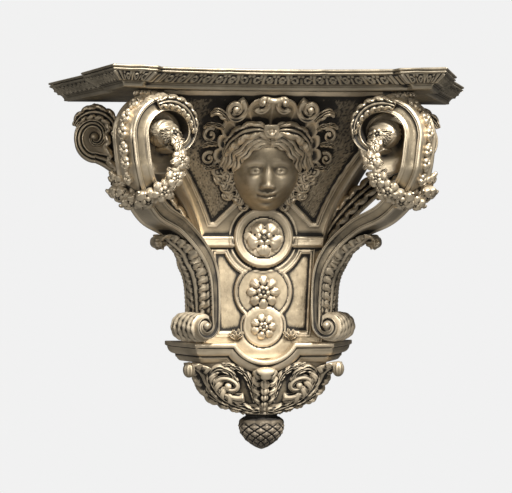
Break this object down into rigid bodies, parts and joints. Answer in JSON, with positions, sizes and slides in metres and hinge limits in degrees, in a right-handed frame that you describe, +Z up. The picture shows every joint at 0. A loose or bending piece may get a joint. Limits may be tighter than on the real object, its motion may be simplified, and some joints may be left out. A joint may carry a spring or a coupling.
{
  "type": "wall bracket",
  "caption": "Carved giltwood wall bracket: moulded canted shelf on scroll legs, concave centre with a mask, flower medallions and a cone finial.",
  "frame": {"origin": "on the flat back face, in the middle, at the level of the waist band under the mask", "axes": "+X to the right along the wall, +Y into the wall, +Z up"},
  "size_m": [0.52, 0.2432, 0.4498],
  "materials": {
    "shelf_gilt": "worn gilding over gesso",
    "body_gilt": "worn gilding over gesso",
    "scroll_gilt": "burnished gilding",
    "finial_gilt": "worn gilding over gesso"
  },
  "bodies": {
    "root": {"shelf": "shelf_gilt", "corbel_body": "body_gilt", "front_scroll_left": "scroll_gilt", "front_scroll_right": "scroll_gilt", "finial": "finial_gilt"}
  },
  "joints": []
}
